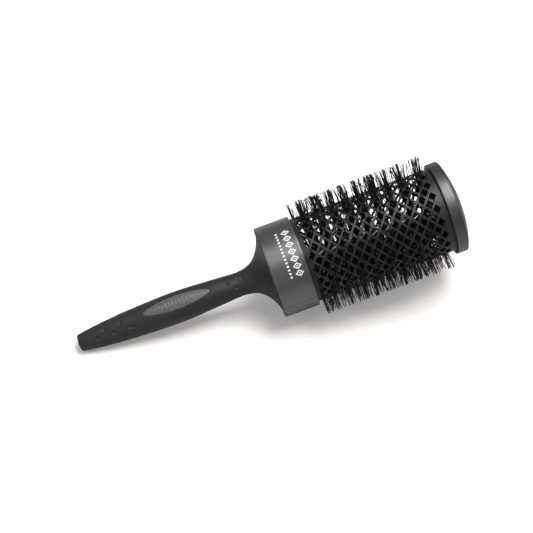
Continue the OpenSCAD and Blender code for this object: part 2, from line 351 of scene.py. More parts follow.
def inlay_material():
    """Grey textured inlay, with a painted highlight lightening the tops of its bars."""
    mat = Shader("inlay_grey")
    fine = mat.noise(scale=2300, detail=4, rough=0.65)
    mottle = mat.noise(scale=700, detail=4, rough=0.6)
    grain = mat.cells(scale=2700)
    color = mat.blend(mottle, (0.050, 0.0538, 0.0563), (0.086, 0.0925, 0.0965))
    color = mat.blend(fine, color, (0.20, 0.21, 0.218), within=(0.55, 0.75), to=(0, 0.7))
    raised = mat.node("Attribute")
    raised.attribute_name = "raised"
    # painted highlight: the bar tops are mixed towards a light grey, varied by the mottle
    painted_bar_highlight = mat.math("MULTIPLY", raised.outputs["Fac"], mat.remap(mottle, to=(0.45, 0.95)))
    color = mat.mix(painted_bar_highlight, color, (0.185, 0.196, 0.203))
    height = mat.weighted((grain, 0.7), (fine, 0.6))
    return mat.set(
        color=color, rough=mat.remap(fine, within=(0.2, 0.8), to=(0.38, 0.58)),
        normal=mat.bump(height, strength=0.55, depth=0.10), spec=0.5)


def satin_material(name, dark, light, rough, spec):
    """Satin metallic lacquer with fine streaks round the axis."""
    mat = Shader(name)
    streaks = mat.noise(scale=1.0, detail=4, rough=0.6,
                        coords=mat.round_coords(along=2600, around=1.6))
    bands = mat.noise(scale=1.0, detail=3, rough=0.55,
                      coords=mat.round_coords(along=420, around=0.9))
    fleck = mat.noise(scale=5200, detail=2, rough=0.5)
    grain = mat.noise(scale=1500, detail=4, rough=0.65)
    cloud = mat.noise(scale=45, detail=3, rough=0.5)
    lines = mat.weighted((streaks, 0.45), (bands, 0.55))
    color = mat.blend(lines, dark, light, within=(0.35, 0.65))
    color = mat.blend(fleck, color, scaled(light, 1.7), within=(0.62, 0.8), to=(0, 0.35))
    color = mat.blend(grain, color, scaled(light, 1.55), within=(0.52, 0.72), to=(0, 0.5))
    streak_rough = mat.remap(streaks, within=(0.25, 0.75), to=(rough - 0.05, rough + 0.05))
    patch_rough = mat.math("ADD", mat.remap(cloud, to=(-0.02, 0.02)),
                           mat.remap(grain, to=(-0.035, 0.035)))
    height = mat.weighted((streaks, 0.3), (fleck, 0.3), (grain, 0.7))
    return mat.set(
        color=color, rough=mat.math("ADD", streak_rough, patch_rough),
        normal=mat.bump(height, strength=0.30, depth=0.05),
        ior=1.7, spec=spec, tint=(0.955, 0.99, 1.0))


def barrel_material():
    """Dark ceramic-coated aluminium, with a painted highlight making it a little lighter on its
    edges.
    """
    mat = Shader("barrel_dark_coat")
    cloud = mat.noise(scale=70, detail=4, rough=0.55)
    peel = mat.noise(scale=900, detail=3, rough=0.5)
    fleck = mat.noise(scale=4200, detail=2, rough=0.6)
    color = mat.blend(cloud, (0.0112, 0.0119, 0.0124), (0.0164, 0.0173, 0.0180))
    color = mat.blend(fleck, color, (0.038, 0.040, 0.041), within=(0.6, 0.8), to=(0, 0.4))
    edges = mat.node("NewGeometry").outputs["Pointiness"]
    # painted highlight: sharp edges are mixed towards a lighter grey
    color = mat.blend(edges, color, (0.046, 0.048, 0.050), within=(0.53, 0.60), to=(0, 0.5))
    height = mat.weighted((peel, 0.7), (fleck, 0.3))
    return mat.set(
        color=color, metal=0.0, rough=mat.remap(peel, to=(0.38, 0.50)),
        normal=mat.bump(height, strength=0.18, depth=0.05), spec=0.36)


def bristle_material():
    """Black drawn nylon."""
    mat = Shader("nylon_black")
    grain = mat.noise(scale=1500, detail=3, rough=0.6)
    mottle = mat.noise(scale=160, detail=2, rough=0.5)
    return mat.set(
        color=mat.blend(mottle, (0.0040, 0.0040, 0.0043), (0.0090, 0.0090, 0.0095)),
        rough=mat.remap(grain, to=(0.32, 0.48)), spec=0.36,
        normal=mat.bump(grain, strength=0.10, depth=0.02))


def steel_material():
    mat = Shader("drawn_steel")
    steel = (0.50, 0.50, 0.49)
    grain = mat.noise(scale=900, detail=5, rough=0.65)
    streaks = mat.noise(scale=1.0, detail=4, rough=0.6,
                        coords=mat.round_coords(along=90, around=14))
    color = mat.blend(grain, scaled(steel, 0.72), steel)
    color = mat.blend(streaks, color, scaled(steel, 1.3), within=(0.55, 0.75), to=(0, 0.5))
    return mat.set(
        color=color, metal=0.95, rough=mat.remap(streaks, within=(0.25, 0.75), to=(0.26, 0.44)),
        normal=mat.bump(grain, strength=0.12, depth=0.03))


def core_material():
    """Rigid black moulding under the skin."""
    mat = Shader("moulded_core")
    grain = mat.noise(scale=1300, detail=4, rough=0.6)
    mottle = mat.noise(scale=90, detail=3, rough=0.5)
    return mat.set(
        color=mat.blend(mottle, (0.010, 0.010, 0.011), (0.017, 0.017, 0.018)),
        rough=mat.remap(grain, to=(0.42, 0.6)),
        normal=mat.bump(grain, strength=0.2, depth=0.05))


def print_material():
    """Slightly uneven white pad print."""
    mat = Shader("white_print")
    grain = mat.noise(scale=2400, detail=4, rough=0.6)
    return mat.set(
        color=mat.blend(grain, (0.80, 0.80, 0.79), (0.66, 0.66, 0.66), within=(0.35, 0.7)),
        rough=mat.remap(grain, to=(0.42, 0.55)),
        normal=mat.bump(grain, strength=0.15, depth=0.02))


MATERIALS = {
    "soft": soft_material(),
    "inlay": inlay_material(),
    "collar": satin_material("collar_satin_grey", dark=(0.0255, 0.0273, 0.0284),
                             light=(0.0305, 0.0326, 0.0339), rough=0.35, spec=0.82),
    "cap": satin_material("cap_satin_dark", dark=(0.0060, 0.0065, 0.0070),
                          light=(0.0088, 0.0095, 0.0101), rough=0.44, spec=0.70),
    "barrel": barrel_material(),
    "bristle": bristle_material(),
    "steel": steel_material(),
    "core": core_material(),
    "print": print_material(),
}

# ------------------------------------------------------------------ handle skin
# Outline of the handle: x, radius
HANDLE = [
    (2.6, 6.26), (7, 6.95), (11.1, 7.5), (15.2, 7.97), (19.4, 8.4), (23.5, 8.8),
    (27.6, 9.16), (31.7, 9.5), (35.8, 9.79), (40, 10.03), (44.1, 10.23), (48.2, 10.43),
    (52.4, 10.62), (56.5, 10.77), (60.6, 10.89), (64.7, 10.97), (68.9, 11), (73, 10.98),
    (77.1, 10.9), (81.3, 10.74), (85.4, 10.51), (89.5, 10.25), (93.7, 10), (97.8, 9.74),
    (102, 9.44), (106.1, 9.15), (110.2, 8.83), (113, 8.62), (115.6, 8.48), (118, 8.44),
    (120, 8.53), (121.8, 8.73), (123.5, 9.04), (125.4, 9.54), (127.5, 10.3), (129.6, 11.4),
    (131.6, 12.95), (133, 14.4), (134.4, 16.15), (135.8, 18.2), (137, 20.3), (138, 22.5),
    (138.8, 24.7), (139.35, 26.6), (139.7, 28.5), (139.88, 30.2), (139.93, 31.55)]
CURVE = catmull(HANDLE, 24)
# Runs of mesh stations: from x, to x, step. They are finer at dimples and inlay ends.
STATION_RUNS = [
    (2.6, 12, 0.42), (12, 41, 0.26), (41, 47.6, 0.45), (47.6, 51.2, 0.12), (51.2, 94.6, 0.30),
    (94.6, 98.2, 0.12), (98.2, 107.6, 0.45), (107.6, 124, 0.26), (124, 131, 0.35)]
FLARE_X = 131.1         # from here on the skin takes the curve's own points
TAIL_R, TAIL_ROUND = 6.15, 1.9      # the handle's free end and its edge rounding
RIM_R, RIM_ROUND = 31.85, 0.30
RIM_X = GRIP_X1 - 0.87  # rim's face; the lip reaches on, inside the collar
LIP_R = 27.4
SKIN_T = 1.25

# Dimples stand in twelve lines round the handle, with two sets of stations in turn.
DIMPLE_STATIONS = ([20.4, 32.15, 109.9, 120.8], [14.4, 26.35, 38.3, 115.35])
DIMPLES = [(x, math.radians(30 * j)) for j in range(12) for x in DIMPLE_STATIONS[j % 2]]
DIMPLE_R, DIMPLE_DEPTH, DIMPLE_REACH = 1.5, 0.80, 2.2
DIMPLE_LIP, DIMPLE_LIP_R, DIMPLE_LIP_WIDTH = 0.07, 1.66, 0.26

INLAY_LO, INLAY_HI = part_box("handle_inlay")
INLAY_X = (INLAY_LO.x + INLAY_HI.x) / 2 / MM
INLAY_HALF_X = (INLAY_HI.x - INLAY_LO.x) / 2 / MM
INLAY_HALF_W = (INLAY_HI.y - INLAY_LO.y) / 2 / MM
OVAL_POWER = 1.86       # exponent of the oval: a little under 2 points its ends
POCKET_DEPTH = 1.0


def handle_r(x):
    return np.interp(x, CURVE[:, 0], CURVE[:, 1])


def oval_distance(x, width):
    """Rough signed distance in mm from the inlay's outline, negative inside."""
    unit_x, unit_w = (x - INLAY_X) / INLAY_HALF_X, width / INLAY_HALF_W
    level = (np.abs(unit_x) ** OVAL_POWER + np.abs(unit_w) ** OVAL_POWER) ** (1 / OVAL_POWER)
    slope = np.sqrt((unit_x / INLAY_HALF_X) ** 2 + (unit_w / INLAY_HALF_W) ** 2) + 1e-9
    return (level - 1) * level / slope


def skin_profiles():
    """Outside of the skin from the free end to the rim, and its inside on the way back."""
    outside = [(0.0, r) for r in (0.0, 1.5, 3.0, 3.9)]
    outside += arc(TAIL_ROUND, TAIL_R - TAIL_ROUND, TAIL_ROUND, 180, 102, 12)
    stations = np.concatenate([np.arange(*run) for run in STATION_RUNS])
    outside += [(x, float(handle_r(x))) for x in stations]
    flare = int(np.argmax(CURVE[:, 0] > FLARE_X))
    outside += [tuple(point) for point in CURVE[flare::5]]
    outside += arc(RIM_X - RIM_ROUND, RIM_R, RIM_ROUND, 92, 0, 7)

    inside = [(RIM_X, TUBE_R), (GRIP_X1, TUBE_R), (GRIP_X1, LIP_R)]
    for x in np.concatenate([np.linspace(139.2, 124, 26), np.linspace(122, 6, 30)]):
        # in the flare the wall is measured along the axis too
        inside.append((x, float(handle_r(x - 0.9 if x > 124 else x)) - SKIN_T))
    inside += [(3.0, 4.9), (3.0, 0.0)]
    return outside, inside


def skin_mesh():
    outside, inside = skin_profiles()

    def sink(x, radius, angle):
        """Presses the dimples and the inlay's pocket into the outside."""
        drop = np.zeros_like(radius)
        outer = np.zeros_like(radius, bool)
        outer[:len(outside)] = True
        for dimple_x, dimple_angle in DIMPLES:
            near = outer & (np.abs(x - dimple_x) < DIMPLE_REACH)
            distance = np.sqrt((x - dimple_x) ** 2 + (radius * wrap(angle - dimple_angle)) ** 2)
            bowl = DIMPLE_DEPTH * np.clip(1 - (distance / DIMPLE_R) ** 2, 0, 1) ** 0.95
            lip = DIMPLE_LIP * np.exp(-((distance - DIMPLE_LIP_R) / DIMPLE_LIP_WIDTH) ** 2)
            drop = np.where(near, np.maximum(drop, bowl) - lip, drop)
        # pocket with a rolled edge, on the +Z side
        top = outer & (np.cos(angle) > 0.3) & (np.abs(x - INLAY_X) < INLAY_HALF_X + 3)
        distance = oval_distance(x, radius * np.sin(wrap(angle)))
        pocket = POCKET_DEPTH * smooth01((0.36 - distance) / 0.5)
        drop = np.where(top, np.maximum(drop, pocket), drop)
        return radius - drop

    # finer on the side that carries the inlay
    angles = np.concatenate([np.radians(np.arange(-36, 36.01, 0.9)),
                             np.radians(np.arange(37.6, 323, 1.72))])
    return new_mesh("grip_skin", *lathe(outside + inside, angles, sink), sharp=48)


finish_piece(skin_mesh(), MATERIALS["soft"], "soft_grip")

# ------------------------------------------------------------------ oval inlay
INLAY_GRID = (330, 90)  # points along and across
INLAY_GAP = 0.10        # to the pocket's outline
INLAY_DEPTH = 1.12      # of its underside below the handle's outline
BARS, BAR_PITCH, BAR_HEIGHT = 13, 2.5, 0.36
BAR_SLANT = math.radians(-12)
BAR_HALF_LENGTHS = (1.15, 1.65)     # in turn; less towards the row's ends
BAR_HALF_WIDTH, BAR_EDGE, BAR_END = 0.52, 0.14, 0.42


def oval_grid():
    """Grid mapped on the unit oval, so that quads stay even right up to the outline.
    Also gives the share of the way from the centre to the outline."""
    along, across = np.meshgrid(*(np.linspace(-1, 1, n) for n in INLAY_GRID), indexing="ij")
    x = along * np.sqrt(1 - across * across / 2)
    y = across * np.sqrt(1 - along * along / 2)
    share = np.sqrt(x * x + y * y)
    angle = np.arctan2(y, x)
    stretch = (np.abs(np.cos(angle)) ** OVAL_POWER
               + np.abs(np.sin(angle)) ** OVAL_POWER) ** (-1 / OVAL_POWER)
    return x * stretch, y * stretch, share


def grip_bars(x, width):
    """Heights 0..1 of each of the low slanted bars down the middle, rounded at the ends."""
    middle = (BARS - 1) / 2
    cosine, sine = math.cos(BAR_SLANT), math.sin(BAR_SLANT)
    for k in range(BARS):
        from_centre = x - (INLAY_X + (k - middle) * BAR_PITCH)
        off_x = from_centre * cosine + width * sine
        off_w = -from_centre * sine + width * cosine
        half = BAR_HALF_LENGTHS[k % 2] - 0.05 * abs(k - middle)
        past_end = np.maximum(np.abs(off_w) - half + BAR_END, 0)
        distance = np.sqrt(off_x ** 2 + past_end ** 2)
        yield smooth01((BAR_HALF_WIDTH - distance) / BAR_EDGE)


def inlay_mesh():
    unit_x, unit_w, share = oval_grid()
    x = INLAY_X + unit_x * (INLAY_HALF_X - INLAY_GAP)
    width = unit_w * (INLAY_HALF_W - INLAY_GAP)
    base = handle_r(x)
    edge = (1 - share) * INLAY_HALF_W       # rough distance to the outline
    crown = 0.14 * smooth01(edge / 3.0) + 0.02
    roll = 0.32 * (1 - smooth01(edge / 0.55)) ** 2
    height = crown - roll
    raised = np.zeros_like(height)
    for bar in grip_bars(x, width):
        height = height + BAR_HEIGHT * bar
        raised = np.maximum(raised, bar)
    angle = np.arcsin(np.clip(width / base, -1, 1))
    top = ring_point(x, base + height, angle)
    bottom = ring_point(x, base - INLAY_DEPTH, angle)
    count = x.size
    ids = np.arange(count).reshape(INLAY_GRID)
    sheet = np.stack([ids[:-1, :-1], ids[:-1, 1:], ids[1:, 1:], ids[1:, :-1]], -1).reshape(-1, 4)
    loop = np.concatenate([ids[:-1, 0], ids[-1, :-1], ids[:0:-1, -1], ids[0, :0:-1]])
    following = np.roll(loop, -1)
    side = np.stack([loop, following, following + count, loop + count], 1)
    ob = new_mesh("oval_inlay", np.concatenate([top.reshape(-1, 3), bottom.reshape(-1, 3)]),
                  np.concatenate([sheet[:, ::-1], sheet + count, side[:, ::-1]]), sharp=50)
    # tells the material where the bars are, for the painted highlight on their tops
    attribute = ob.data.attributes.new("raised", "FLOAT", "POINT")
    values = np.concatenate([raised.reshape(-1), np.zeros(count)])
    attribute.data.foreach_set("value", values.astype(np.float32))
    return ob


finish_piece(inlay_mesh(), MATERIALS["inlay"], "handle_inlay")

# ------------------------------------------------------------------ collar sleeve
COLLAR_ROUND = 0.42
SEAM_ANGLE = math.radians(75)
SEAM_DEPTH, SEAM_HALF, SEAM_EDGE = 0.24, 0.13, 0.16
SEAM_STATIONS = [-0.022, -0.0105, -0.0062, -0.0036, 0.0, 0.0036, 0.0062, 0.0105, 0.022]


def collar_mesh():
    bore, corner_r = TUBE_R + 0.05, COLLAR_R - COLLAR_ROUND
    profile = [(COLLAR_X0, bore), (COLLAR_X0, bore + 0.8)]
    profile += arc(COLLAR_X0 + COLLAR_ROUND, corner_r, COLLAR_ROUND, 180, 90, 7)
    profile += [(x, COLLAR_R) for x in np.linspace(COLLAR_X0 + 1.2, COLLAR_X1 - 1.2, 15)]
    profile += arc(COLLAR_X1 - COLLAR_ROUND, corner_r, COLLAR_ROUND, 90, 0, 7)
    profile += [(COLLAR_X1, bore)]
    angles = np.concatenate([SEAM_ANGLE + np.array(SEAM_STATIONS),
                             SEAM_ANGLE + np.linspace(0.045, 2 * np.pi - 0.045, 230)])

    def seam(x, radius, angle):
        distance = np.abs(wrap(angle - SEAM_ANGLE)) * radius
        groove = SEAM_DEPTH * (1 - smooth01((distance - SEAM_HALF) / SEAM_EDGE))
        return np.where(radius > bore + 1.2, radius - groove, radius)
    return new_mesh("collar_sleeve", *lathe(profile, angles, seam), sharp=40)


finish_piece(collar_mesh(), MATERIALS["collar"], "collar_band")

# ------------------------------------------------------------------ print on the collar
# Outlines are (x, distance round the sleeve). Each mark is a thin closed pad.
PRINT_LOW, PRINT_HIGH = COLLAR_R - 0.01, COLLAR_R + 0.035
PRINT_MIDDLE = math.radians(5.2) * COLLAR_R
DIAMONDS, DIAMOND_PITCH, DIAMOND_X = 7, 5.15, COLLAR_X1 - 6.4
DIAMOND_OUTER, DIAMOND_HOLE, DIAMOND_DOT = (3.10, 2.35), (1.90, 1.40), (0.80, 0.62)
DOTS, DOT_PITCH, DOT_X = 14, 2.55, COLLAR_X1 - 12.6
DOT_HALF_X, DOT_HALF_W = 0.85, 0.70


def on_collar(outline, radius):
    return ring_point(outline[:, 0], np.full(len(outline), radius), outline[:, 1] / COLLAR_R)


def solid_pad(outline):
    n = len(outline)
    centre = outline.mean(0)[None]
    verts = np.concatenate([on_collar(points, radius) for points in (outline, centre)
                            for radius in (PRINT_HIGH, PRINT_LOW)])
    i = np.arange(n)
    j = (i + 1) % n
    tris = np.concatenate([np.stack([i, j, np.full(n, 2 * n)], 1),
                           np.stack([n + j, n + i, np.full(n, 2 * n + 1)], 1)])
    return verts, np.stack([j, i, n + i, n + j], 1), tris


def open_pad(outline, hole):
    n = len(outline)
    verts = np.concatenate([on_collar(points, radius) for radius in (PRINT_HIGH, PRINT_LOW)
                            for points in (outline, hole)])
    i = np.arange(n)
    j = (i + 1) % n
    quads = np.concatenate([
        np.stack([i, j, n + j, n + i], 1),
        np.stack([2 * n + j, 2 * n + i, 3 * n + i, 3 * n + j], 1),
        np.stack([j, i, 2 * n + i, 2 * n + j], 1),
        np.stack([n + i, n + j, 3 * n + j, 3 * n + i], 1)])
    return verts, quads, NO_TRIS


def diamond(width, half_x, half_w, side_points=6):
    corners = np.array([(half_x, 0), (0, half_w), (-half_x, 0), (0, -half_w)])
    points = [start + (end - start) * k / side_points
              for start, end in zip(corners, np.roll(corners, -1, 0))
              for k in range(side_points)]
    return np.array(points) + np.array([DIAMOND_X, width])


def print_mesh():
    """A line of open diamonds and a line of dots."""
    parts = []
    for k in range(DIAMONDS):
        width = PRINT_MIDDLE + (k - (DIAMONDS - 1) / 2) * DIAMOND_PITCH
        parts.append(open_pad(diamond(width, *DIAMOND_OUTER), diamond(width, *DIAMOND_HOLE)))
        parts.append(solid_pad(diamond(width, *DIAMOND_DOT)))
    for k in range(DOTS):
        width = PRINT_MIDDLE + (k - (DOTS - 1) / 2) * DOT_PITCH
        angle = even(12)
        parts.append(solid_pad(np.stack([DOT_X + DOT_HALF_X * np.cos(angle),
                                         width + DOT_HALF_W * np.sin(angle)], 1)))
    return new_mesh("collar_print", *join(parts), smooth=False)


finish_piece(print_mesh(), MATERIALS["print"])

# ------------------------------------------------------------------ vented barrel
# The tube is tiled with diamond cells, each with a diamond hole.
CELL_HALF_X, CELL_HALF_W = VENT_STEP, math.pi * TUBE_R / VENTS_ROUND
VENT_OPEN = 0.74        # the hole's size as a share of its cell's
VENT_ROUND = 0.38       # corner rounding
VENT_BEVEL = 0.13
TUBE_LIP = 0.12         # chamfer at the tube's ends
# Points along a side, as shares of it: closer together near the corners
SIDE_SHARES = np.array([0, 0.035, 0.085, 0.22, 0.40, 0.60, 0.78, 0.915, 0.965])


def rounded_corner(before, corner, after, rounding, t):
    start = corner + (before - corner) / np.linalg.norm(before - corner) * rounding
    end = corner + (after - corner) / np.linalg.norm(after - corner) * rounding
    return (1 - t) ** 2 * start + 2 * t * (1 - t) * corner + t * t * end


def vent_outline(half_x, half_w, rounding):
    """Diamond of (x, distance round the tube) points about its centre."""
    corners = [np.array([x * half_x, w * half_w]) for x, w in ((1, 0), (0, 1), (-1, 0), (0, -1))]
    points = []
    for k in range(4):
        before, start, end, after = (corners[(k + step) % 4] for step in (-1, 0, 1, 2))
        length = np.linalg.norm(end - start)
        for share in SIDE_SHARES:
            from_start, to_end = share * length, (1 - share) * length
            if from_start < rounding:
                point = rounded_corner(before, start, end, rounding,
                                       0.5 + 0.5 * from_start / rounding)
            elif to_end < rounding:
                point = rounded_corner(start, end, after, rounding,
                                       0.5 - 0.5 * to_end / rounding)
            else:
                point = start + (end - start) * share
            points.append(point)
    return np.array(points)


def grown_hole(margin):
    """The hole's outline moved out by a margin all round."""
    half_x, half_w = CELL_HALF_X * VENT_OPEN, CELL_HALF_W * VENT_OPEN
    side_distance = 1 / math.hypot(1 / half_x, 1 / half_w)
    factor = 1 + margin / side_distance
    return vent_outline(half_x * factor, half_w * factor, VENT_ROUND + margin)


class TubePoints:
    """Vertices as (x, distance round the tube, radius)."""

    def __init__(self):
        self.points = []
        self.known = {}

    def add(self, x, around, radius):
        self.points.append((x, around, radius))
        return len(self.points) - 1

    def shared(self, x, around, radius):
        """A vertex on a cell's outline, which neighbouring cells have in common."""
        angle = (around / TUBE_R) % (2 * math.pi)
        turn = round(2 * math.pi * TUBE_R * 500)
        key = (round(x * 500), round(angle * TUBE_R * 500) % turn, round(radius * 100))
        if key not in self.known:
            self.known[key] = self.add(x, around, radius)
        return self.known[key]


def strip(loop, other, flip=False):
    """Quads between two closed loops of vertices."""
    faces = []
    for q in range(len(loop)):
        n = (q + 1) % len(loop)
        face = (loop[q], loop[n], other[n], other[q])
        faces.append(face[::-1] if flip else face)
    return faces


def cell_centre(row, place):
    return VENT_X0 + VENT_STEP * row, 2 * CELL_HALF_W * (place + (row % 2) / 2)


def vent_cells(points):
    """All cells: from the outline outside, through the hole, to the outline inside."""
    cell = vent_outline(CELL_HALF_X, CELL_HALF_W, 0)
    bevel = VENT_BEVEL
    rings = [(cell, TUBE_R), (grown_hole(0.42), TUBE_R), (grown_hole(bevel), TUBE_R)]
    rings += [(grown_hole(bevel * out), TUBE_R - bevel * down)
              for out, down in ((0.62, 0.08), (0.29, 0.29), (0.08, 0.62), (0.0, 1))]
    rings += [(grown_hole(0.0), TUBE_INNER_R + 0.10), (grown_hole(0.10), TUBE_INNER_R),
              (cell, TUBE_INNER_R)]
    quads = []
    for row in range(VENT_ROWS):
        for place in range(VENTS_ROUND):
            centre_x, centre_w = cell_centre(row, place)
            loops = []
            for k, (outline, radius) in enumerate(rings):
                add = points.shared if k in (0, len(rings) - 1) else points.add
                loops.append([add(centre_x + x, centre_w + w, radius) for x, w in outline])
            for loop, other in zip(loops, loops[1:]):
                quads += strip(loop, other)
    return quads


def tube_margin(points, row, side, end_x):
    """Plain margin from the zigzag of an end row to the tube's end; side is -1 or 1 along x."""
    zigzag = []
    for place in range(VENTS_ROUND):
        row_x, centre_w = cell_centre(row, place)
        for t in [*SIDE_SHARES, 1.0]:
            zigzag.append((row_x + side * CELL_HALF_X * t, centre_w - CELL_HALF_W * (1 - t)))
        for t in SIDE_SHARES[1:]:
            zigzag.append((row_x + side * CELL_HALF_X * (1 - t), centre_w + CELL_HALF_W * t))
    first = row_x + side * (CELL_HALF_X + 0.6)
    last = end_x - side * TUBE_LIP
    quads, last_loops = [], []
    for radius in (TUBE_R, TUBE_INNER_R):
        loop = [points.shared(x, w, radius) for x, w in zigzag]
        for station in (first, (first + last) / 2, last):
            straight = [points.add(station, w, radius) for _, w in zigzag]
            quads += strip(loop, straight, flip=(side < 0) != (radius == TUBE_R))
            loop = straight
        last_loops.append(loop)
    lips = [(points.add(end_x, w, TUBE_R - TUBE_LIP),
             points.add(end_x, w, TUBE_INNER_R + TUBE_LIP)) for _, w in zigzag]
    outer_lip, inner_lip = zip(*lips)
    loops = [last_loops[0], outer_lip, inner_lip, last_loops[1]]
    strips = [strip(loop, other, flip=side > 0) for loop, other in zip(loops, loops[1:])]
    for faces in zip(*strips):
        quads.extend(faces)
    return quads


def barrel_mesh():
    points = TubePoints()
    quads = vent_cells(points)
    quads += tube_margin(points, 0, -1, TUBE_X0)
    quads += tube_margin(points, VENT_ROWS - 1, 1, TUBE_X1)
    x, around, radius = np.array(points.points).T
    return new_mesh("vented_barrel", ring_point(x, radius, around / TUBE_R), quads, sharp=55)


finish_piece(barrel_mesh(), MATERIALS["barrel"], "barrel_tube")

# ------------------------------------------------------------------ end cap and dome
FIT = 0.05              # clearance between the parts
TURNED_SIDES = 224
SKIRT_X = 266.3         # where the cap's outside starts, over the barrel
SPIGOT_R = TUBE_INNER_R - FIT       # the part inside the barrel
BORE_R, BOSS_R, SEAT_R = 2.1, 4.05, 31.38
FLOOR_X = 272.8         # recess that takes the dome
TONGUE_LO, TONGUE_HI = 23.9, 26.1   # ring on the dome that enters the cap's groove
DOME_SEAT_X, DOME_SPHERE_R, DOME_T = 272.85, 94.0, 2.1
RIB_COUNT, RIB_HALF_T = 6, 0.7


def cap_profile():
    lower, upper = TONGUE_LO - FIT, TONGUE_HI + FIT
    # hub and spigot
    profile = [
        (268.3, BORE_R), (268.3, BOSS_R), (CAP_X0, BOSS_R), (CAP_X0, 6.2), (CAP_X0 + 0.3, 6.5),
        (269.2, 6.5), (269.5, 6.8), (269.5, SPIGOT_R - 2.3), (269.2, SPIGOT_R - 1.95),
        (264.4, SPIGOT_R - 1.95), (264.0, SPIGOT_R - 0.5), (264.5, SPIGOT_R),
        (270.85, SPIGOT_R), (270.85, TUBE_R + FIT), (SKIRT_X, TUBE_R + FIT),
        (SKIRT_X, TUBE_R + 1.2)]
    # skirt, with a shadow line behind the rim
    profile += arc(SKIRT_X + 0.5, CAP_R - 0.5, 0.5, 180, 90, 7)
    profile += [(x, CAP_R) for x in np.linspace(SKIRT_X + 1.2, CAP_X1 - 2.0, 7)]
    profile += [(CAP_X1 - back, CAP_R - drop)
                for back, drop in ((1.80, 0.05), (1.70, 0.26), (1.38, 0.26), (1.28, 0.05))]
    profile += arc(CAP_X1 - 1.15, CAP_R - 1.15, 1.15, 90, 12, 9)
    # recess and groove for the dome
    profile += [
        (CAP_X1 - 0.06, 31.62), (CAP_X1 - 0.45, SEAT_R), (FLOOR_X, SEAT_R), (FLOOR_X, upper),
        (271.6, upper), (271.6, lower), (FLOOR_X, lower), (FLOOR_X, 4.3), (270.2, 4.3),
        (270.2, BORE_R)]
    return profile


def cap_rib(angle):
    """Radial web from the hub to the spigot."""
    cosine, sine = math.cos(angle), math.sin(angle)
    corners = [(x, -(radius * sine + w * cosine), radius * cosine - w * sine)
               for x in (265.2, 269.8) for radius in (6.1, TUBE_INNER_R - 1.9)
               for w in (-RIB_HALF_T, RIB_HALF_T)]
    quads = [(0, 1, 3, 2), (4, 6, 7, 5), (0, 4, 5, 1), (2, 3, 7, 6), (0, 2, 6, 4), (1, 5, 7, 3)]
    return corners, quads, NO_TRIS


def cap_mesh():
    ribs = [cap_rib(math.radians(360 / RIB_COUNT * k)) for k in range(RIB_COUNT)]
    body = lathe(cap_profile(), even(TURNED_SIDES))
    return new_mesh("cap_ring", *join([body] + ribs), sharp=38)


def dome_mesh():
    centre = DOME_X1 - DOME_SPHERE_R

    def sphere_x(radius, inset=0.0):
        return centre + math.sqrt((DOME_SPHERE_R - inset) ** 2 - radius * radius)
    edge_x = sphere_x(DOME_R) - 0.75
    edge_round = 0.62
    profile = [(sphere_x(r, DOME_T), r) for r in np.linspace(0, 21, 12)]
    profile += [
        (DOME_SEAT_X, 21), (DOME_SEAT_X, TONGUE_LO), (DOME_X0, TONGUE_LO), (DOME_X0, TONGUE_HI),
        (DOME_SEAT_X, TONGUE_HI), (DOME_SEAT_X, DOME_R), (edge_x, DOME_R)]
    profile += arc(edge_x, DOME_R - edge_round, edge_round, 90, 18, 7)
    profile += [(sphere_x(r), r) for r in np.linspace(DOME_R - 0.75, 0, 40)]
    return new_mesh("end_dome_disc", *lathe(profile, even(TURNED_SIDES)), sharp=40)


finish_piece(cap_mesh(), MATERIALS["cap"], "end_cap")
finish_piece(dome_mesh(), MATERIALS["cap"], "end_dome")

# ------------------------------------------------------------------ twisted stem
WIRE_D = 2.3
WIRE_OFFSET = WIRE_R - WIRE_D / 2       # from the brush's axis to the wire's
WIRE_SIDES, RINGS_PER_TURN = 14, 40
WIRE_END_INSET = 0.15


def wire_mesh(name, phase):
    rings = int((WIRE_X1 - WIRE_X0) / TWIST_PITCH * RINGS_PER_TURN) + 1
    x = np.linspace(WIRE_X0, WIRE_X1, rings)
    turn = math.radians(phase + TWIST_0) - 2 * np.pi * x / TWIST_PITCH
    helix = math.atan(2 * math.pi * WIRE_OFFSET / TWIST_PITCH)
    around = np.arange(WIRE_SIDES) * 2 * np.pi / WIRE_SIDES
    radius = np.full((rings, 1), WIRE_D / 2)
    radius[[0, -1]] = WIRE_D / 2 - WIRE_END_INSET
    radial = WIRE_OFFSET + radius * np.cos(around)
    sideways = radius * np.sin(around)
    lean = np.full((rings, 1), math.sin(helix))
    lean[[0, -1]] = 0       # the ends are cut square
    cosine, sine = np.cos(turn)[:, None], np.sin(turn)[:, None]
    z = radial * cosine - sideways * math.cos(helix) * sine
    y = -(radial * sine + sideways * math.cos(helix) * cosine)
    verts = np.stack([x[:, None] + sideways * lean, y, z], -1).reshape(-1, 3)
    centres = ring_point(x[[0, -1]], np.full(2, WIRE_OFFSET), turn[[0, -1]])
    quads, tris = tube_faces(rings, WIRE_SIDES)
    return new_mesh(name, np.concatenate([verts, centres]),
                    quads[:, [0, 3, 2, 1]], tris[:, [1, 0, 2]], sharp=50)


finish_piece(wire_mesh("twist_wire_a", 90), MATERIALS["steel"], "stem_wire_a")
finish_piece(wire_mesh("twist_wire_b", 270), MATERIALS["steel"], "stem_wire_b")

# ------------------------------------------------------------------ bristles
# Each filament leaves the twisted stem, passes the nearest vent and goes on to the tip.
FILAMENT_D, FILAMENT_COUNT, FILAMENT_SIDES = 0.54, 1700, 6
FILAMENT_X0, FILAMENT_X1 = ROOT_X0 + 0.9, ROOT_X1 - 0.9
PATH_RADII = [2.2, 9, 17, 24, 28.8, 30.6, 33, 35.8, 38.4]   # the tip's radius follows
VENT_ANGLE = 180 / VENTS_ROUND      # half the angle from vent to vent, in degrees
VENT_REACH = 0.60       # how far from a vent's centre a filament may pass, in half cells
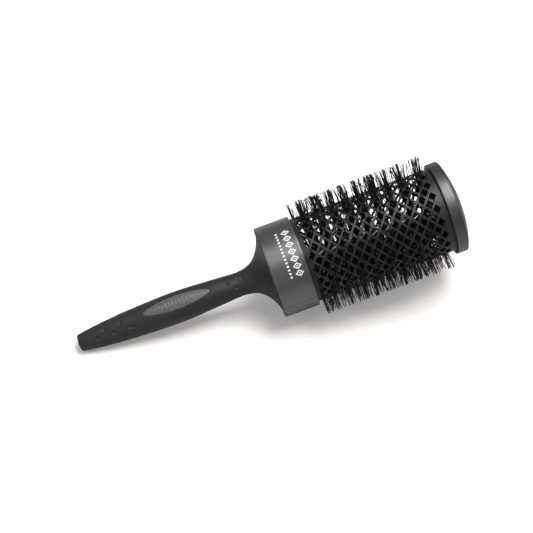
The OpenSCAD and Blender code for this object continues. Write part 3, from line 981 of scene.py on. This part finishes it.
# Random spreads. Angles are in degrees, leans in mm along x per mm of radius.
ROOT_SPREAD, TIP_SPREAD, SWERVE_SPREAD = 8.5, 4.0, 0.5
LEAN_SPREAD, VENT_LEAN_SPREAD, OWN_LEAN_SPREAD = 0.062, 0.055, 0.019
CURL_SPREAD = 0.0035
TIP_INSET, TIP_SHORT_SPREAD = 0.10, 0.22
SHORT_CHANCE, SHORT_MOST = 0.05, 1.8    # a few filaments are clearly shorter
# Filaments fan out near the ends: lean at the handle's end and at the cap's
FAN_HANDLE, FAN_CAP = 0.055, 0.10


def filament_tube(path, spin):
    """A tube of filament width along the path."""
    count = len(path)
    radius = np.full(count, FILAMENT_D / 2)
    radius[-1] *= 0.94
    ahead = np.gradient(path, axis=0)
    ahead /= np.linalg.norm(ahead, axis=1)[:, None]
    aside = np.array([1.0, 0, 0]) if abs(ahead[0][0]) < 0.8 else np.array([0, 1.0, 0])
    first = np.cross(ahead, aside)
    first /= np.linalg.norm(first, axis=1)[:, None]
    second = np.cross(ahead, first)
    around = np.arange(FILAMENT_SIDES) * 2 * np.pi / FILAMENT_SIDES + spin
    verts = path[:, None] + radius[:, None, None] * (
        first[:, None] * np.cos(around)[None, :, None]
        + second[:, None] * np.sin(around)[None, :, None])
    verts = np.concatenate([verts.reshape(-1, 3), path[:1],
                            path[-1:] + ahead[-1:] * radius[-1] * 0.25])
    return (verts, *tube_faces(count, FILAMENT_SIDES))


def nearest_vent(row_pos, slot_pos):
    """Distance in half cells, row and slot of the vent nearest to a place on the tube."""
    found = []
    for row in (int(math.floor(row_pos)), int(math.floor(row_pos)) + 1):
        row = min(max(row, 0), VENT_ROWS - 1)
        odd = row % 2
        slot = 2 * round((slot_pos - odd) / 2) + odd
        found.append((abs(row_pos - row) + abs(slot_pos - slot), row, slot))
    return min(found, key=lambda vent: vent[0])


def filament(number, rng, vent_leans):
    """Row of the vent a filament passes, and its tube."""
    length = FILAMENT_X1 - FILAMENT_X0
    root_x = FILAMENT_X0 + length * ((number + rng.uniform(0, 1)) / FILAMENT_COUNT)
    side = rng.integers(0, 2)
    root_angle = (TWIST_0 - 360 * root_x / TWIST_PITCH + 180 * side
                  + rng.normal(0, ROOT_SPREAD))
    off_middle = (root_x - (FILAMENT_X0 + FILAMENT_X1) / 2) / (length / 2)
    fan = FAN_CAP if off_middle > 0 else FAN_HANDLE
    free_lean = rng.normal(0, LEAN_SPREAD) + fan * off_middle ** 5
    aim_x = root_x + free_lean * TUBE_R
    aim_angle = root_angle + rng.normal(0, TIP_SPREAD)

    row_pos = (aim_x - VENT_X0) / VENT_STEP
    slot_pos = aim_angle / VENT_ANGLE
    distance, row, slot = nearest_vent(row_pos, slot_pos)
    pull = min(1.0, VENT_REACH / max(distance, 1e-6))
    vent_x = VENT_X0 + VENT_STEP * (row + (row_pos - row) * pull)
    vent_angle = (slot + (slot_pos - slot) * pull) * VENT_ANGLE

    inner_lean = (vent_x - root_x) / TUBE_R
    vent_lean = vent_leans[row, int(slot) % (2 * VENTS_ROUND)]
    outer_lean = (inner_lean * 0.72 + free_lean * 0.28 + vent_lean
                  + rng.normal(0, OWN_LEAN_SPREAD))
    tip = TIP_R - TIP_INSET - abs(rng.normal(0, TIP_SHORT_SPREAD))
    if rng.uniform() < SHORT_CHANCE:
        tip -= rng.uniform(0, SHORT_MOST)
    curl = rng.normal(0, CURL_SPREAD)
    swerve = rng.normal(0, SWERVE_SPREAD)
    turn = vent_angle - root_angle

    radius = np.array(PATH_RADII + [tip])
    share, beyond = radius / TUBE_R, radius - TUBE_R
    inside = radius <= TUBE_R
    x = np.where(inside,
                 root_x + inner_lean * radius + share * (1 - share) * free_lean * 4,
                 vent_x + outer_lean * beyond + curl * beyond ** 2 * 0.35)
    angle = np.where(inside,
                     root_angle + turn * radius / TUBE_R,
                     vent_angle + turn * 0.5 * beyond / TUBE_R + swerve * beyond / 6)
    path = ring_point(x, radius, np.radians(angle))
    return row, filament_tube(path, spin=rng.uniform(0, 1))


def build_bristles():
    rng = np.random.default_rng(41)
    vent_leans = rng.normal(0, VENT_LEAN_SPREAD, (VENT_ROWS, 2 * VENTS_ROUND + 2))
    rows = [[] for _ in range(VENT_ROWS)]
    for number in range(FILAMENT_COUNT):
        row, tube = filament(number, rng, vent_leans)
        rows[row].append(tube)
    for i, tubes in enumerate(rows, 1):
        ob = new_mesh("bristle_ring_%02d" % i, *join(tubes), sharp=60)
        finish_piece(ob, MATERIALS["bristle"], "bristle_row_%02d" % i)


build_bristles()

# ------------------------------------------------------------------ CAD nodes kept as they are
for node, material, slot in (
        ("handle_core", "core", "hard_core"), ("cap_screw", "steel", "steel"),
        ("cap_ferrule", "steel", "steel"), ("handle_ferrule", "steel", "steel"),
        ("bristle_root_strip", "bristle", "bristle")):
    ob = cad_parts[node]
    ob.data.materials.clear()
    ob.data.materials.append(MATERIALS[material])

# ------------------------------------------------------------------ camera
CAMERA_DISTANCE = 933.0
CAMERA_ANGLE = math.radians(20.45)      # round the brush's axis
CAMERA_LEAN = math.radians(0.8)         # towards the handle's end
CAMERA_ROLL = math.radians(20.3)
AIM_X, AIM_RISE = 139.45, 4.95

across = Vector((0, -math.sin(CAMERA_ANGLE), math.cos(CAMERA_ANGLE)))
to_camera = Vector((-math.sin(CAMERA_LEAN), 0, 0)) + across * math.cos(CAMERA_LEAN)
brush_axis = Vector((math.cos(CAMERA_LEAN), 0, 0)) + across * math.sin(CAMERA_LEAN)
brush_side = to_camera.cross(brush_axis)
right = brush_axis * math.cos(CAMERA_ROLL) - brush_side * math.sin(CAMERA_ROLL)
up = brush_axis * math.sin(CAMERA_ROLL) + brush_side * math.cos(CAMERA_ROLL)


def place(ob, x_axis, y_axis, z_axis, position):
    ob.matrix_world = Matrix([(*row,) for row in zip(x_axis, y_axis, z_axis, position)]
                             + [(0, 0, 0, 1)])


def add_camera():
    data = bpy.data.cameras.new("camera")
    data.sensor_width = 36
    data.lens = 91.181989
    data.clip_start = 0.05
    data.clip_end = 50
    camera = add_object("camera", data)
    aim = (Vector((AIM_X, 0, 0)) + brush_side * AIM_RISE) * MM
    place(camera, right, up, to_camera, aim + to_camera * CAMERA_DISTANCE * MM)
    bpy.context.scene.camera = camera


add_camera()

# ------------------------------------------------------------------ floor
# The brush rests on the end of its handle and on the bristle tips nearest the handle.
BRISTLE_RINGS = ["bristle_ring_%02d" % (i + 1) for i in range(VENT_ROWS)]
FLOOR_HALF, FLOOR_CELLS = 3.5, 8        # metres, cells along a side
FLOOR_GAP = 0.00005                     # metres


def rest_level(normal, names):
    """Lowest level of the named meshes along a direction, in metres."""
    low = 1e9
    for name in names:
        mesh = bpy.data.objects[name].data
        coords = np.zeros(len(mesh.vertices) * 3)
        mesh.vertices.foreach_get("co", coords)
        low = min(low, float((coords.reshape(-1, 3) @ np.array(normal)).min()))
    return low


def floor_direction(elevation):
    """The floor's normal for a camera at an elevation above it."""
    return (up * math.cos(elevation) + to_camera * math.sin(elevation)).normalized()


def resting_normal():
    """Halves a range of elevations until handle and bristles touch the floor together."""
    low, high = math.radians(30), math.radians(75)
    for _ in range(30):
        middle = (low + high) / 2
        normal = floor_direction(middle)
        if rest_level(normal, ["grip_skin"]) < rest_level(normal, BRISTLE_RINGS):
            low = middle        # the bristles hang in the air
        else:
            high = middle
    return floor_direction((low + high) / 2)


def floor_material():
    """White floor. Reflections see it a stop darker: painted shade in what the brush reflects.
    To the camera alone it glows a little, painted light that lightens the shadows on it.
    """
    mat = Shader("floor_white")
    # a darker copy of the floor for reflections, and a faint glow seen only by the camera
    seen = mat.node("LightPath").outputs["Is Camera Ray"]
    white = mat.blend(mat.noise(scale=3, detail=2, rough=0.5),
                      (0.90, 0.880, 0.860), (0.91, 0.890, 0.870))
    return mat.set(
        color=mat.mix(seen, (0.49, 0.48, 0.47), white), rough=0.85, spec=0.2,
        glow=(1.0, 0.985, 0.965), glow_level=mat.math("MULTIPLY", seen, 0.16))


def add_floor(normal):
    level = rest_level(normal, ["grip_skin"] + BRISTLE_RINGS)
    origin = Vector((0.14, 0, 0))
    origin = origin - normal * (origin.dot(normal) - level + FLOOR_GAP)
    floor_x = right - normal * right.dot(normal)
    floor_x.normalize()
    floor_y = normal.cross(floor_x)
    cells, row = FLOOR_CELLS, FLOOR_CELLS + 1
    verts = [origin + floor_x * FLOOR_HALF * (2 * i / cells - 1)
             + floor_y * FLOOR_HALF * (2 * j / cells - 1)
             for i in range(row) for j in range(row)]
    faces = [(k, k + row, k + row + 1, k + 1)
             for i in range(cells) for k in range(i * row, i * row + cells)]
    mesh = bpy.data.meshes.new("floor")
    mesh.from_pydata(verts, [], faces)
    floor = add_object("floor", mesh)
    mesh.materials.append(floor_material())


floor_up = resting_normal()
add_floor(floor_up)

# ------------------------------------------------------------------ light
LIGHT_CENTRE = Vector((0.17, 0, 0))     # metres


def turned_up(direction):
    """The direction or its opposite, whichever points up in the camera's view."""
    return direction if direction.dot(up) > 0 else -direction


along = Vector((1, 0, 0)) - floor_up * floor_up.x      # the brush's direction on the floor
along.normalize()
beside = turned_up(floor_up.cross(along))       # across it, away from the camera
front = -turned_up(floor_up.cross(right))       # along the floor, towards the camera


def panel(name, direction, distance, size, radiance, color=(1, 1, 1)):
    """A soft panel that looks at the brush from a direction; distance and size in metres."""
    width, height = size
    position = LIGHT_CENTRE + direction.normalized() * distance
    light = bpy.data.lights.new(name, "AREA")
    light.shape = "RECTANGLE"
    light.size, light.size_y = width, height
    light.energy = radiance * math.pi * width * height
    light.color = color
    light.spread = math.pi
    ob = add_object(name, light)
    z_axis = (position - LIGHT_CENTRE).normalized()
    x_axis = along - z_axis * along.dot(z_axis)
    x_axis.normalize()
    place(ob, x_axis, z_axis.cross(x_axis), z_axis, position)


panel("overhead", floor_up + along * 0.24 + beside * 0.02, distance=1.18,
      size=(0.72, 0.82), radiance=10.6, color=(1.0, 0.995, 0.985))
panel("left_side", floor_up * 0.75 - right, distance=1.3, size=(0.7, 0.7), radiance=1.6)
panel("right_side", floor_up * 0.75 + right, distance=1.3, size=(0.7, 0.7), radiance=0.5)
panel("front_fill", front + floor_up * 0.42 - right * 0.45, distance=1.5,
      size=(1.1, 0.8), radiance=1.35)

scene = bpy.context.scene
world = bpy.data.worlds.new("studio")
scene.world = world
world.use_nodes = True
background = world.node_tree.nodes["Background"]
background.inputs["Color"].default_value = (1.0, 0.985, 0.97, 1)
background.inputs["Strength"].default_value = 0.25

scene.view_settings.view_transform = "Standard"
scene.view_settings.look = "None"
scene.view_settings.exposure = 0
scene.view_settings.gamma = 1
